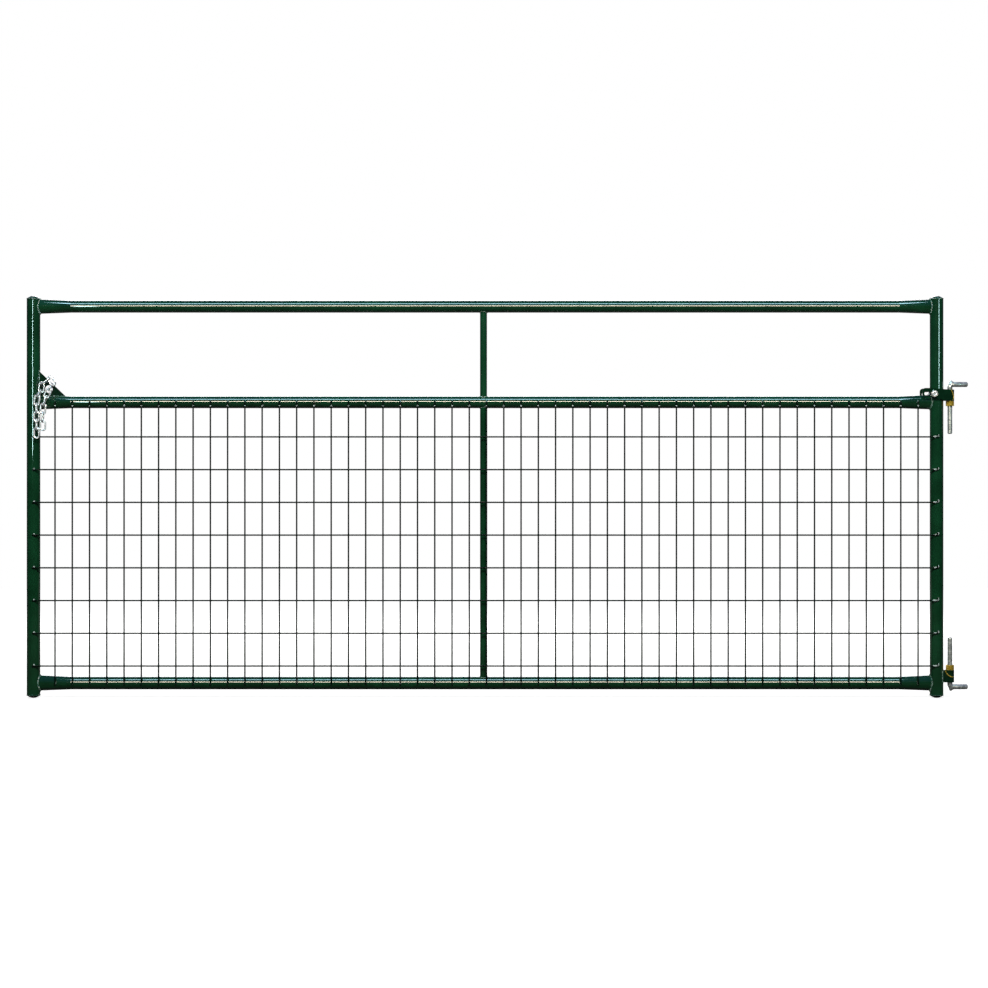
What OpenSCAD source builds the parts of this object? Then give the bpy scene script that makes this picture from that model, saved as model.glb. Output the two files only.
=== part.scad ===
// Tubular steel field gate, 10 ft by 50 in class. A welded tube frame is filled below its middle
// rail with welded wire, swings on two J-shaped hinge bolts and closes with a length of chain.
// The origin is on the axis of the lower hinge bolt's pin, where the pin enters the gate post.
// +X runs from the gate into the post, +Z is up, and the front of the gate faces -Y.

/* [Gate] */
// Overall width, over the outsides of the stiles
gate_w = 2896; // [2700:1:3100]
// Overall height, over the stile caps
gate_h = 1270; // [1230:1:1310]

/* [Tubes] */
// Outside diameter of the stiles
stile_d = 42.4; // [41:0.1:44]
// Outside diameter of the top and middle rails
rail_d = 38; // [36:0.1:40]
// Outside diameter of the bottom rail
bottom_rail_d = 41; // [39:0.1:43]
// Outside diameter of the centre posts
post_d = 22; // [18:0.1:26]
// Wall of the stiles and rails
tube_wall = 1.8; // [1.5:0.1:2.5]
// Wall of the centre posts
post_wall = 1.5; // [1.2:0.1:2]
// Drop from the top of the gate to the axis of the top rail
top_rail_drop = 34; // [32:1:45]
// Drop from the top of the gate to the axis of the middle rail
middle_rail_drop = 336; // [320:1:350]
// Rise from the foot of the gate to the axis of the bottom rail
bottom_rail_rise = 47; // [44:1:52]
// Sideways place of the centre posts, from the middle of the gate
post_x = -4.8; // [-40:0.1:40]

/* [Crimped rail ends] */
// Length over which a rail's end is crimped, from the stile's axis
crimp_len = 120; // [80:1:160]
// Height that a crimped end gains over the round tube
crimp_gain = 9; // [5:0.1:11]
// Depth that a crimped end loses against the round tube
crimp_loss = 10.6; // [6:0.1:13]

/* [Stile caps] */
// Rise of the domed cap
cap_rise = 9; // [6:0.1:12]
// Wall of the cap
cap_wall = 2; // [1.5:0.1:2.5]
// Length of the skirt inside the tube
cap_skirt = 18; // [12:1:25]
// Clearance round the skirt
cap_clearance = 0.1; // [0.05:0.01:0.2]

/* [Wire fill] */
// Diameter of the wire
wire_d = 4.8; // [3:0.1:5.3]
// Number of line wires
line_count = 8; // [7:1:9]
// Gap from the axis of the middle rail to the first line wire
line_top_gap = 110; // [98:1:115]
// Gap from the axis of the bottom rail to the last line wire
line_bottom_gap = 55; // [45:1:65]
// Pitch of the stay wires
stay_pitch = 54.4; // [50:0.1:60]
// First stay wire, from the axis of the left stile
stay_first = 71.6; // [60:0.1:75]
// Least gap from the last stay wire to the axis of the right stile
stay_last_gap = 45; // [40:1:50]
// Depth to which a weld sinks a wire into its tube
wire_sink = 0.4; // [0.2:0.05:0.6]
// Length of a stay wire past the axis of its rail
stay_overrun = 3; // [1:0.5:6]
// Bend radius of a line wire's turned-up end
line_bend_r = 4; // [3:0.5:6]
// Straight length above that bend
line_hook_l = 4; // [2:0.5:8]

/* [Chain plate] */
// Thickness of the plate
plate_t = 5; // [4:0.1:6]
// Reach of the plate up the stile, from the axis of the middle rail
plate_up = 116; // [110:1:125]
// Reach of the plate along the rail, from the axis of the stile
plate_out = 122; // [115:1:130]
// Depth of the plate's middle in front of the middle of the stile
plate_depth = 6; // [4:0.1:7]
// Diameter of the hole
plate_hole_d = 24; // [20:0.5:26]
// Hole, from the axis of the stile
plate_hole_out = 49.8; // [47:0.1:53]
// Hole, from the axis of the middle rail
plate_hole_up = 41.5; // [39:0.1:44]

/* [Chain] */
// Diameter of the link wire
link_wire_d = 5.5; // [5.3:0.1:5.7]
// Length inside a link
link_inner_l = 26; // [25:0.1:27]
// Width inside a link
link_inner_w = 10; // [9.8:0.1:10.4]
// Running gap between linked wires
link_gap = 0.3; // [0.25:0.05:0.4]
// Middle of the fixed link, from the axis of the stile
anchor_out = 42.1; // [41:0.1:44]
// Middle of the fixed link, from the axis of the middle rail
anchor_up = 65.3; // [63:0.1:67]

/* [Hinge bolts] */
// Distance from the axis of the stile to the hinge line
hinge_reach = 42; // [38:0.1:44]
// Diameter of the bent rod
rod_d = 15.9; // [15:0.1:16.5]
// Radius of the bend at the rod's middle
elbow_r = 14; // [12:0.5:16]
// Length of the leg, from the pin's axis
leg_l = 156; // [140:1:180]
// Length of the pin, from the hinge line
pin_l = 56; // [50:1:90]
// Chamfer of the rod's two ends
rod_chamfer = 3; // [1:0.5:4]
// Place where the pin enters the post, past the bend
post_gap = 5; // [3:0.5:8]
// Width of the hinge nut across its flats
hinge_nut_af = 24; // [22:0.5:27]
// Height of the hinge nut
hinge_nut_h = 16; // [11:0.5:18]
// Clearance of the nut's bore round the rod
nut_clearance = 0.05; // [0.02:0.01:0.2]
// Radial clearance of an eye's bore round the rod
eye_clearance = 0.4; // [0.3:0.05:0.8]
// Gap between an eye and the bend or nut beside it
eye_end_gap = 0.5; // [0.4:0.1:1]

/* [Upper hinge strap] */
// Thickness of the strap
strap_t = 5; // [4:0.1:6]
// Clearance between the strap and the stile
strap_clearance = 0.15; // [0.1:0.01:0.4]
// Drop from the top of the gate to the middle line of the strap's slot
strap_drop = 310; // [295:1:320]
// Height of the eye above the slot's middle line
eye_above = 13.5; // [10:0.5:16]
// Depth of the eye below that line
eye_below = 21.5; // [20:0.5:28]
// Height of the ear above that line
ear_above = 18; // [14:0.5:20]
// Depth of the ear below that line
ear_below = 10; // [9.5:0.5:14]
// Length of the straight ear, from the axis of the stile
ear_l = 49; // [46:0.5:60]
// Radius of the ear's corners
ear_corner_r = 10; // [4:0.5:12]
// Length of the slot, from the axis of the stile to its far end
slot_l = 43; // [38:0.5:44]
// Gap from the eye to the bend of the upper bolt
upper_eye_gap = 2.5; // [2:0.5:6]

/* [Strap bolt] */
// Diameter of the bolt
bolt_d = 12.7; // [12:0.1:13]
// Radial clearance of the bolt in its slot and holes
bolt_clearance = 0.4; // [0.3:0.05:0.6]
// Distance of the bolt from the axis of the stile
bolt_offset = 11.8; // [9:0.1:12.4]
// Width of the head and nut across their flats
bolt_af = 19; // [17:0.5:20]
// Height of the head
bolt_head_h = 8; // [7:0.5:9]
// Height of the nut
bolt_nut_h = 11; // [9:0.5:12]
// Length of the bolt past its nut
bolt_tail = 5; // [2:0.5:8]

/* [Lower hinge eye] */
// Height of the eye
lower_eye_h = 38; // [32:1:44]
// Height of the lower pin's axis above the foot of the gate
lower_pin_rise = 35; // [32:0.5:40]
// Wall of the eye round its bore
lower_eye_wall = 5; // [4:0.1:6]
// Half width of the gap between its two legs
lower_leg_gap = 7.4; // [6.5:0.1:7.6]

/* [Hidden] */
$fn = 72;
// Steps of an arc in a polygon outline, for each quarter turn
arc_steps = 12;
// Circle steps of a crimped rail's faceted end
crimp_fn = 48;
// Length past a face to which a cut runs
past = 1;
// Height of a hexagon's corner chamfer, as a share of the width across flats
hex_chamfer = 0.04;
// Run of that chamfer across the end face, for each unit of its height
hex_chamfer_run = 2;
// Turn of a hinge nut that sets a flat toward the stile
hinge_nut_turn = 30;
// Thickness of the discs between which a crimped rail's end is drawn
oval_disc_t = 0.2;
// Height that the strap's upper edge still has above its eye where it leaves the stile
strap_slope_rise = 1;

stile_x = (gate_w - stile_d) / 2;
top_rail_z = gate_h - top_rail_drop;
middle_rail_z = gate_h - middle_rail_drop;
bottom_rail_z = bottom_rail_rise;
// The bottom rail is set back so that all rails are flush in front
bottom_rail_y = (bottom_rail_d - rail_d) / 2;

stay_y = -(rail_d + wire_d) / 2 + wire_sink;
line_y = -(stile_d + wire_d) / 2 + wire_sink;
line_top_z = middle_rail_z - line_top_gap;
line_pitch = (line_top_z - bottom_rail_z - line_bottom_gap) / (line_count - 1);
stay_count = 1 + floor((2 * stile_x - stay_first - stay_last_gap) / stay_pitch);

hinge_x = stile_x + hinge_reach;
bore_r = rod_d / 2 + eye_clearance;
lower_pin_z = lower_pin_rise;
lower_eye_z = lower_pin_z + elbow_r + eye_end_gap;
lower_nut_z = lower_eye_z + lower_eye_h + eye_end_gap;
strap_z = gate_h - strap_drop;
upper_pin_z = strap_z + eye_above + upper_eye_gap + elbow_r;
upper_nut_z = strap_z - eye_below - eye_end_gap - hinge_nut_h;
strap_in_r = stile_d / 2 + strap_clearance;
strap_out_r = strap_in_r + strap_t;
bolt_x = stile_x - bolt_offset;
// The slot ends round the bolt, with its own clearance on that side
slot_r = bolt_d / 2 + bolt_clearance;

link_bend_r = (link_inner_w + link_wire_d) / 2;
link_half = (link_inner_l - link_inner_w) / 2;
// From the bar that a link hangs on to the link's middle
link_hang = link_half + link_bend_r - link_wire_d - link_gap;
// Turns of the links as they lie: sideways, forward, and about the link's own length
anchor_turn = [54, 0, 90];
left_turns = [[6, 0, 0], [22, 57, 90], [8, 0, 0], [0, 0, 90], [0, 0, 0], [0, 0, 90], [0, 0, 0]];
right_turns = [[-32, 0, 0], [22, 57, 90], [26, 0, 0], [18, 0, 90], [4, 0, 0], [0, 0, 90], [0, 0, 0]];
plate_front_y = -plate_depth - plate_t / 2;
anchor_middle = [
    -stile_x + anchor_out, plate_front_y - link_bend_r - link_wire_d / 2, middle_rail_z + anchor_up
];
anchor_end = (link_half + link_bend_r) * down_of(anchor_turn);

green = [0.05, 0.22, 0.12];
bright_zinc = [0.75, 0.76, 0.74];
grey_zinc = [0.55, 0.56, 0.53];
yellow_zinc = [0.75, 0.6, 0.25];

left_links = [for (i = [1:len(left_turns)]) str("left_link_", i)];
right_links = [for (i = [1:len(right_turns)]) str("right_link_", i)];

// Moves a piece from the frame of the gate's middle foot to the origin on the lower pin
module placed(finish)
{
    color(finish)
    translate([-(hinge_x + elbow_r + post_gap), 0, -lower_pin_z])
        children();
}

// Points of an arc in a plane, ends included
function arc(centre, r, from, to) =
    let(steps = ceil(abs(to - from) / 90 * arc_steps))
    [for (i = [0:steps]) let(a = from + (to - from) * i / steps) centre + r * [cos(a), sin(a)]];

// A hexagon prism with its corners chamfered at both ends
module hexagon(af, h)
{
    corner_r = af / 2 / cos(30);
    chamfer = af * hex_chamfer;
    face_r = corner_r - hex_chamfer_run * chamfer;
    intersection() {
        cylinder(r = corner_r, h = h, $fn = 6);
        rotate_extrude()
            polygon([
                [0, 0], [face_r, 0], [corner_r, chamfer], [corner_r, h - chamfer], [face_r, h], [0, h]
            ]);
    }
}

// Stiles and their caps

module stile(x)
{
    tube_h = gate_h - 2 * cap_rise;
    translate([x, 0, cap_rise])
    difference() {
        cylinder(d = stile_d, h = tube_h);
        translate([0, 0, -past])
            cylinder(d = stile_d - 2 * tube_wall, h = tube_h + 2 * past);
    }
}

module left_stile()
{
    placed(green) stile(-stile_x);
}

// The right stile is drilled through for the bolt of the upper hinge
module right_stile()
{
    placed(green)
    difference() {
        stile(stile_x);
        translate([bolt_x, stile_d, strap_z])
        rotate([90, 0, 0])
            cylinder(r = slot_r, h = 2 * stile_d);
    }
}

// A pressed dome with a skirt that fits inside the tube
module cap(x, is_top)
{
    rim_r = stile_d / 2;
    skirt_r = rim_r - tube_wall - cap_clearance;
    dome_r = (rim_r * rim_r + cap_rise * cap_rise) / (2 * cap_rise);
    placed(green)
    translate([x, 0, is_top ? gate_h - cap_rise : cap_rise])
    mirror([0, 0, is_top ? 0 : 1])
    difference() {
        union() {
            intersection() {
                translate([0, 0, cap_rise - dome_r]) sphere(r = dome_r);
                cylinder(r = rim_r, h = cap_rise + past);
            }
            translate([0, 0, -cap_skirt]) cylinder(r = skirt_r, h = cap_skirt + past);
        }
        intersection() {
            translate([0, 0, cap_rise - dome_r]) sphere(r = dome_r - cap_wall);
            translate([0, 0, -cap_skirt - past])
                cylinder(r = skirt_r - cap_wall, h = cap_skirt + cap_rise + 2 * past);
        }
    }
}

// Rails: round tubes, crimped to a tall narrow oval at both ends and coped onto the stiles

module oval_disc(half_h, half_depth)
{
    scale([1, half_depth, half_h])
    rotate([0, 90, 0])
        cylinder(r = 1, h = oval_disc_t, center = true, $fn = crimp_fn);
}

module rail_body(d, inset)
{
    round_half = stile_x - crimp_len;
    r = d / 2 - inset;
    rotate([0, 90, 0]) cylinder(r = r, h = 2 * round_half, center = true);
    for (side = [-1, 1])
        hull() {
            translate([side * round_half, 0, 0]) oval_disc(r, r);
            translate([side * stile_x, 0, 0])
                oval_disc(r + crimp_gain / 2, r - crimp_loss / 2);
        }
}

module rail(d, y, z)
{
    placed(green)
    difference() {
        translate([0, y, z])
        difference() {
            rail_body(d, 0);
            rail_body(d, tube_wall);
        }
        for (side = [-1, 1])
            translate([side * stile_x, 0, 0]) cylinder(d = stile_d, h = gate_h);
    }
}

module top_rail()
{
    rail(rail_d, 0, top_rail_z);
}

module middle_rail()
{
    rail(rail_d, 0, middle_rail_z);
}

module bottom_rail()
{
    rail(bottom_rail_d, bottom_rail_y, bottom_rail_z);
}

// A centre post, coped onto the rails below and above it
module post(low_z, low_d, low_y, high_z)
{
    placed(green)
    difference() {
        translate([post_x, 0, low_z]) cylinder(d = post_d, h = high_z - low_z);
        translate([post_x, 0, low_z - past])
            cylinder(d = post_d - 2 * post_wall, h = high_z - low_z + 2 * past);
        for (end = [[low_z, low_d, low_y], [high_z, rail_d, 0]])
            translate([post_x, end[2], end[0]])
            rotate([0, 90, 0])
                cylinder(d = end[1], h = 2 * post_d, center = true);
    }
}

module upper_post()
{
    post(middle_rail_z, rail_d, 0, top_rail_z);
}

module lower_post()
{
    post(bottom_rail_z, bottom_rail_d, bottom_rail_y, middle_rail_z);
}

// Wire fill, welded at every crossing and onto the fronts of the tubes

// A line wire, from the left stile to a short turned-up end on the right one
module line_wire(z)
{
    straight_l = 2 * stile_x - line_bend_r;
    translate([-stile_x, line_y, z]) {
        rotate([0, 90, 0]) cylinder(d = wire_d, h = straight_l);
        translate([straight_l, 0, line_bend_r]) {
            rotate([90, 0, 0])
            rotate([0, 0, -90])
            rotate_extrude(angle = 90)
                translate([line_bend_r, 0]) circle(d = wire_d);
            translate([line_bend_r, 0, 0]) cylinder(d = wire_d, h = line_hook_l);
        }
    }
}

module line_wires()
{
    placed(green)
    for (i = [0:line_count - 1])
        line_wire(line_top_z - i * line_pitch);
}

module stay_wires()
{
    low_z = bottom_rail_z - stay_overrun;
    high_z = middle_rail_z + stay_overrun;
    placed(green)
    for (i = [0:stay_count - 1])
        translate([-stile_x + stay_first + i * stay_pitch, stay_y, low_z])
            cylinder(d = wire_d, h = high_z - low_z);
}

// Chain plate: a corner gusset behind the chain, welded to the left stile and the middle rail
module chain_plate()
{
    placed(green)
    difference() {
        translate([-stile_x, plate_t / 2 - plate_depth, middle_rail_z])
        rotate([90, 0, 0])
        linear_extrude(plate_t)
            polygon([[0, 0], [plate_out, 0], [0, plate_up]]);
        translate([-stile_x, 0, 0]) cylinder(d = stile_d, h = gate_h);
        translate([0, 0, middle_rail_z]) rail_body(rail_d, 0);
        translate([-stile_x + plate_hole_out, 0, middle_rail_z + plate_hole_up])
        rotate([90, 0, 0])
            cylinder(d = plate_hole_d, h = stile_d, center = true);
    }
}

// Chain

// Direction from a link's middle to its lower end
function down_of(turn) =
    [-sin(turn[0]) * cos(turn[1]), -sin(turn[1]), -cos(turn[0]) * cos(turn[1])];

// Straight down in a plane leant sideways by an angle
function sag_of(lean) = [-sin(lean), 0, -cos(lean)];

// The bar on which the next link hangs: the lowest point of this link's end bend
function lower_hook(middle, turn, next_turn) =
    middle + link_half * down_of(turn)
    + link_bend_r * sag_of(turn[2] == 0 ? next_turn[0] : turn[0]);

// Where link i of a strand hangs, and its middle
function hook(turns, first, i) =
    i == 0 ? first : lower_hook(link_middle(turns, first, i - 1), turns[i - 1], turns[i]);
function link_middle(turns, first, i) =
    hook(turns, first, i) + link_hang * down_of(turns[i]);

// A link in the XZ plane, bent from round wire and welded shut
module chain_link()
{
    for (side = [-1, 1]) {
        translate([side * link_bend_r, 0, -link_half]) cylinder(d = link_wire_d, h = 2 * link_half);
        translate([0, 0, side * link_half])
        rotate([side * 90, 0, 0])
        rotate_extrude(angle = 180)
            translate([link_bend_r, 0]) circle(d = link_wire_d);
    }
}

module turned_link(middle, turn)
{
    placed(bright_zinc)
    translate(middle)
    rotate([-turn[1], turn[0], 0])
    rotate([0, 0, turn[2]])
        chain_link();
}

// The fixed link is welded by one side to the plate and carries both strands
module anchor_link()
{
    turned_link(anchor_middle, anchor_turn);
}

module left_link(i)
{
    turned_link(link_middle(left_turns, anchor_middle + anchor_end, i), left_turns[i]);
}

module right_link(i)
{
    turned_link(link_middle(right_turns, anchor_middle - anchor_end, i), right_turns[i]);
}

// Upper hinge: a strap bent round the stile, with its eye toward the post and two slotted ears

// Outline of the strap from above, round the stile and the rod
module strap_plan()
{
    stile_c = [stile_x, 0];
    eye_c = [hinge_x, 0];
    eye_out_r = bore_r + strap_t;
    // The strap's outside is tangent to both rounds at this angle
    lean = acos((strap_out_r - eye_out_r) / hinge_reach);
    ear_x = stile_x - ear_l;
    difference() {
        polygon(concat(
            [[ear_x, strap_out_r]],
            arc(stile_c, strap_out_r, 90, lean),
            arc(eye_c, eye_out_r, lean, -lean),
            arc(stile_c, strap_out_r, -lean, -90),
            [[ear_x, -strap_out_r]]
        ));
        polygon(concat(
            [[ear_x - past, strap_in_r]],
            arc(stile_c, strap_in_r, 90, -90),
            [[ear_x - past, -strap_in_r]]
        ));
    }
}

// Outline of the strap from the front, with a taller ear than its eye
module strap_front()
{
    ear_x = stile_x - ear_l;
    eye_end_x = hinge_x + bore_r + strap_t + past;
    low = -ear_below;
    high = ear_above;
    r = ear_corner_r;
    polygon(concat(
        arc([ear_x + r, high - r], r, 90, 180),
        arc([ear_x + r, low + r], r, 180, 270),
        [[stile_x - stile_d / 2, low], [stile_x + stile_d / 2, -eye_below], [eye_end_x, -eye_below]],
        [[eye_end_x, eye_above], [stile_x + stile_d / 2, eye_above + strap_slope_rise], [stile_x - stile_d / 2, high]]
    ));
}

module hinge_strap()
{
    strap_h = eye_below + ear_above + 2 * past;
    depth = 2 * strap_out_r + 2 * past;
    placed(green)
    difference() {
        intersection() {
            translate([0, 0, strap_z - eye_below - past]) linear_extrude(strap_h) strap_plan();
            translate([0, depth / 2, strap_z])
            rotate([90, 0, 0])
            linear_extrude(depth)
                strap_front();
        }
        translate([hinge_x, 0, strap_z - eye_below - past]) cylinder(r = bore_r, h = strap_h);
        translate([0, depth / 2, strap_z])
        rotate([90, 0, 0])
        linear_extrude(depth)
            polygon(concat(
                arc([bolt_x, 0], slot_r, -90, 90),
                arc([stile_x - slot_l + slot_r, 0], slot_r, 90, 270)
            ));
    }
}

// Bolt through the strap's slots and the stile, head in front
module strap_bolt()
{
    shank_l = 2 * strap_out_r + bolt_nut_h + bolt_tail;
    placed(bright_zinc)
    translate([bolt_x, -strap_out_r, strap_z])
    rotate([-90, 0, 0]) {
        translate([0, 0, -bolt_head_h]) hexagon(bolt_af, bolt_head_h);
        cylinder(d = bolt_d, h = shank_l);
    }
}

module strap_nut()
{
    placed(bright_zinc)
    translate([bolt_x, strap_out_r, strap_z])
    rotate([-90, 0, 0])
    difference() {
        hexagon(bolt_af, bolt_nut_h);
        translate([0, 0, -past]) cylinder(r = bolt_d / 2 + nut_clearance, h = bolt_nut_h + 2 * past);
    }
}

// Lower hinge: a short strap bent round the rod and welded to the stile
module lower_eye()
{
    out_r = bore_r + lower_eye_wall;
    placed(green)
    difference() {
        translate([0, 0, lower_eye_z])
        linear_extrude(lower_eye_h)
            polygon(concat(
                [[stile_x, -out_r]],
                arc([hinge_x, 0], out_r, -90, 90),
                [[stile_x, out_r]]
            ));
        translate([hinge_x, 0, 0]) cylinder(r = bore_r, h = gate_h);
        translate([stile_x, -lower_leg_gap, 0]) cube([hinge_reach, 2 * lower_leg_gap, gate_h]);
        translate([stile_x, 0, 0]) cylinder(d = stile_d, h = gate_h);
    }
}

// Hinge bolts: a rod bent to a J, its long leg in the eye and its short pin toward the post

// A straight stretch of rod along Z with a chamfered far end
module rod_end(l)
{
    cylinder(d = rod_d, h = l - rod_chamfer);
    translate([0, 0, l - rod_chamfer])
        cylinder(r1 = rod_d / 2, r2 = rod_d / 2 - rod_chamfer, h = rod_chamfer);
}

module j_bolt(pin_z, leg_is_up)
{
    placed(grey_zinc)
    translate([hinge_x, 0, pin_z])
    mirror([0, 0, leg_is_up ? 0 : 1]) {
        translate([0, 0, elbow_r]) rod_end(leg_l - elbow_r);
        translate([elbow_r, 0, elbow_r])
        rotate([90, 0, 0])
        rotate([0, 0, 180])
        rotate_extrude(angle = 90)
            translate([elbow_r, 0]) circle(d = rod_d);
        translate([elbow_r, 0, 0]) rotate([0, 90, 0]) rod_end(pin_l - elbow_r);
    }
}

module hinge_nut(z)
{
    placed(yellow_zinc)
    translate([hinge_x, 0, z])
    rotate([0, 0, hinge_nut_turn])
    difference() {
        hexagon(hinge_nut_af, hinge_nut_h);
        translate([0, 0, -past])
            cylinder(r = rod_d / 2 + nut_clearance, h = hinge_nut_h + 2 * past);
    }
}

left_stile();
right_stile();
cap(-stile_x, true);  // left_top_cap
cap(-stile_x, false);  // left_foot_cap
cap(stile_x, true);  // right_top_cap
cap(stile_x, false);  // right_foot_cap
top_rail();
middle_rail();
bottom_rail();
upper_post();
lower_post();
line_wires();
stay_wires();
chain_plate();
anchor_link();
for (i = [0:len(left_turns) - 1])
    left_link(i);
for (i = [0:len(right_turns) - 1])
    right_link(i);
hinge_strap();
strap_bolt();
strap_nut();
lower_eye();
j_bolt(upper_pin_z, false);  // upper_j_bolt
hinge_nut(upper_nut_z);  // upper_hinge_nut
j_bolt(lower_pin_z, true);  // lower_j_bolt
hinge_nut(lower_nut_z);  // lower_hinge_nut
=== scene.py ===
"""Dresses the field gate: a finish for every piece, its welds and threads, the floor, the light and the camera."""

import logging
import math
from collections.abc import Callable, Iterable, Sequence
from dataclasses import dataclass, field
from enum import Enum

import bmesh
import bpy
import numpy as np
from bpy.types import ID, Material, Mesh, Node, NodeSocket as Socket, NodeTree as Tree, Object
from mathutils import Matrix, Vector


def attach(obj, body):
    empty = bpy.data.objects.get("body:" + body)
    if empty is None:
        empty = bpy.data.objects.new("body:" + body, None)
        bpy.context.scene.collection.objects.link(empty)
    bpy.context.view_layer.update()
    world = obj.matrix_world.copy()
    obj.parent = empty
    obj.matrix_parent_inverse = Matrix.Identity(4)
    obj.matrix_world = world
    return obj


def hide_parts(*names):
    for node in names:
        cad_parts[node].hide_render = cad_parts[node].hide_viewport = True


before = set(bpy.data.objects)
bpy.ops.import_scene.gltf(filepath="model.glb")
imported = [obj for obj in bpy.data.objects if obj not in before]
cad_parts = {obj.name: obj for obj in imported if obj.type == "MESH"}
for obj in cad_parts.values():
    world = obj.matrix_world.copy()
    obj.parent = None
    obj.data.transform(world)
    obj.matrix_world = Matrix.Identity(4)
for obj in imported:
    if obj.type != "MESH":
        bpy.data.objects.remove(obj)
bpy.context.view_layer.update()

LOG = logging.getLogger("gate")
MM = 0.001
TOUCH = 1e-6
GATE = "gate_frame"
Point = tuple[float, float, float]
Span = tuple[float, float]
# The part of a noise that is stretched over a finish's whole range, as noise seldom leaves it.
NOISE_SPAN = (0.3, 0.7)
# Specks: the noise from which they would cover half, what a smaller share adds to it, the width of their
# edge, how much of their colour shows, and how much rougher they are.
SPECK_MIDDLE, SPECK_REACH, SPECK_EDGE, SPECK_STRENGTH, SPECK_DULLING = 0.5, 0.25, 0.08, 0.6, 0.08
# One ripple or spot of weld metal, and the least and the most width of a ripple against the usual one.
WELD_ROUND = {"Segments": 8, "Rings": 5, "Radius": 1.0}
RIPPLE_WIDTHS = (0.86, 1.1)


class Side(Enum):
    """Side of the gate as the camera sees it, with the sign of its place from the gate's middle."""

    LEFT = -1
    RIGHT = 1


class Leg(Enum):
    """Way that the long leg of a hinge bolt points from its pin."""

    UP = 1
    DOWN = -1


class Slot(Enum):
    """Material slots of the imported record."""

    GREEN = "green_paint"
    BRIGHT = "bright_zinc"
    GREY = "grey_zinc"
    YELLOW = "yellow_zinc"


@dataclass(frozen=True)
class GateSizes:
    """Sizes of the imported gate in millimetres, from its middle foot: X to the right, Z up, front to -Y."""

    middle_x: float = -1487.8
    foot_z: float = -35.0
    stile_x: float = 1426.8
    stile_r: float = 21.2
    rail_r: float = 19.0
    bottom_rail_r: float = 20.5
    bottom_rail_y: float = 1.5
    top_rail_z: float = 1236.0
    middle_rail_z: float = 934.0
    bottom_rail_z: float = 47.0
    post_x: float = -4.8
    post_r: float = 11.0
    crimp_len: float = 120.0
    crimp_gain: float = 9.0
    crimp_loss: float = 10.6
    line_y: float = -23.2
    stay_y: float = -21.0
    hinge_x: float = 1468.8

    def row(self, x: float, y: float, z: float) -> Vector:
        """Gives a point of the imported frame, in metres, from millimetres about the gate's middle foot."""
        return Vector(((x + self.middle_x) * MM, y * MM, (z + self.foot_z) * MM))


SIZES = GateSizes()


def linear(shade: str) -> tuple[float, float, float, float]:
    """Turns a colour from sRGB hex to the linear values that a shader takes.

    Args:
        shade: A colour such as "#14402a".

    Returns:
        Red, green and blue in linear light, and an alpha of one.
    """
    channels = [int(shade[i:i + 2], 16) / 255 for i in (1, 3, 5)]
    red, green, blue = (c / 12.92 if c <= 0.04045 else ((c + 0.055) / 1.055) ** 2.4 for c in channels)
    return red, green, blue, 1.0


def ring_turns(count: int) -> list[float]:
    """Gives the angles of a ring's points, evenly spread."""
    return [math.tau * i / count for i in range(count)]


def add_node(tree: Tree, kind: str, inputs: dict | None = None, **settings: object) -> Node:
    """Adds one node with its settings, the values of its sockets and its links.

    Args:
        tree: The node tree.
        kind: The node's type name.
        inputs: Values or output sockets by the input's name or number.
        **settings: Properties of the node itself.

    Returns:
        The new node.
    """
    node = tree.nodes.new(kind)
    for name, value in settings.items():
        setattr(node, name, value)
    for key, value in (inputs or {}).items():
        if isinstance(value, Socket):
            tree.links.new(value, node.inputs[key])
        else:
            node.inputs[key].default_value = value
    return node


def compute(tree: Tree, operation: str, a: object, b: object = 0.0, c: object = 0.0) -> Socket:
    """Adds a math node and gives its output."""
    return add_node(tree, "ShaderNodeMath", {0: a, 1: b, 2: c}, operation=operation).outputs[0]


def remap(tree: Tree, value: Socket, start: Span, end: Span = (0.0, 1.0)) -> Socket:
    """Adds a node that maps one span to another, held at its ends, and gives its output."""
    spans = {"From Min": start[0], "From Max": start[1], "To Min": end[0], "To Max": end[1]}
    return add_node(tree, "ShaderNodeMapRange", {"Value": value, **spans}).outputs["Result"]


def blend(tree: Tree, share: object, first: object, second: object, **settings: object) -> Socket:
    """Adds a node that mixes two colours and gives its output."""
    inputs = {"Factor": share, 6: first, 7: second}
    return add_node(tree, "ShaderNodeMix", inputs, data_type="RGBA", **settings).outputs[2]


def new_material(name: str) -> tuple[Material, Tree]:
    """Makes an empty node material.

    Args:
        name: The finish's name.

    Returns:
        The material and its cleared node tree.
    """
    material = bpy.data.materials.new(name)
    material.use_nodes = True
    material.node_tree.nodes.clear()
    return material, material.node_tree


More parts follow.
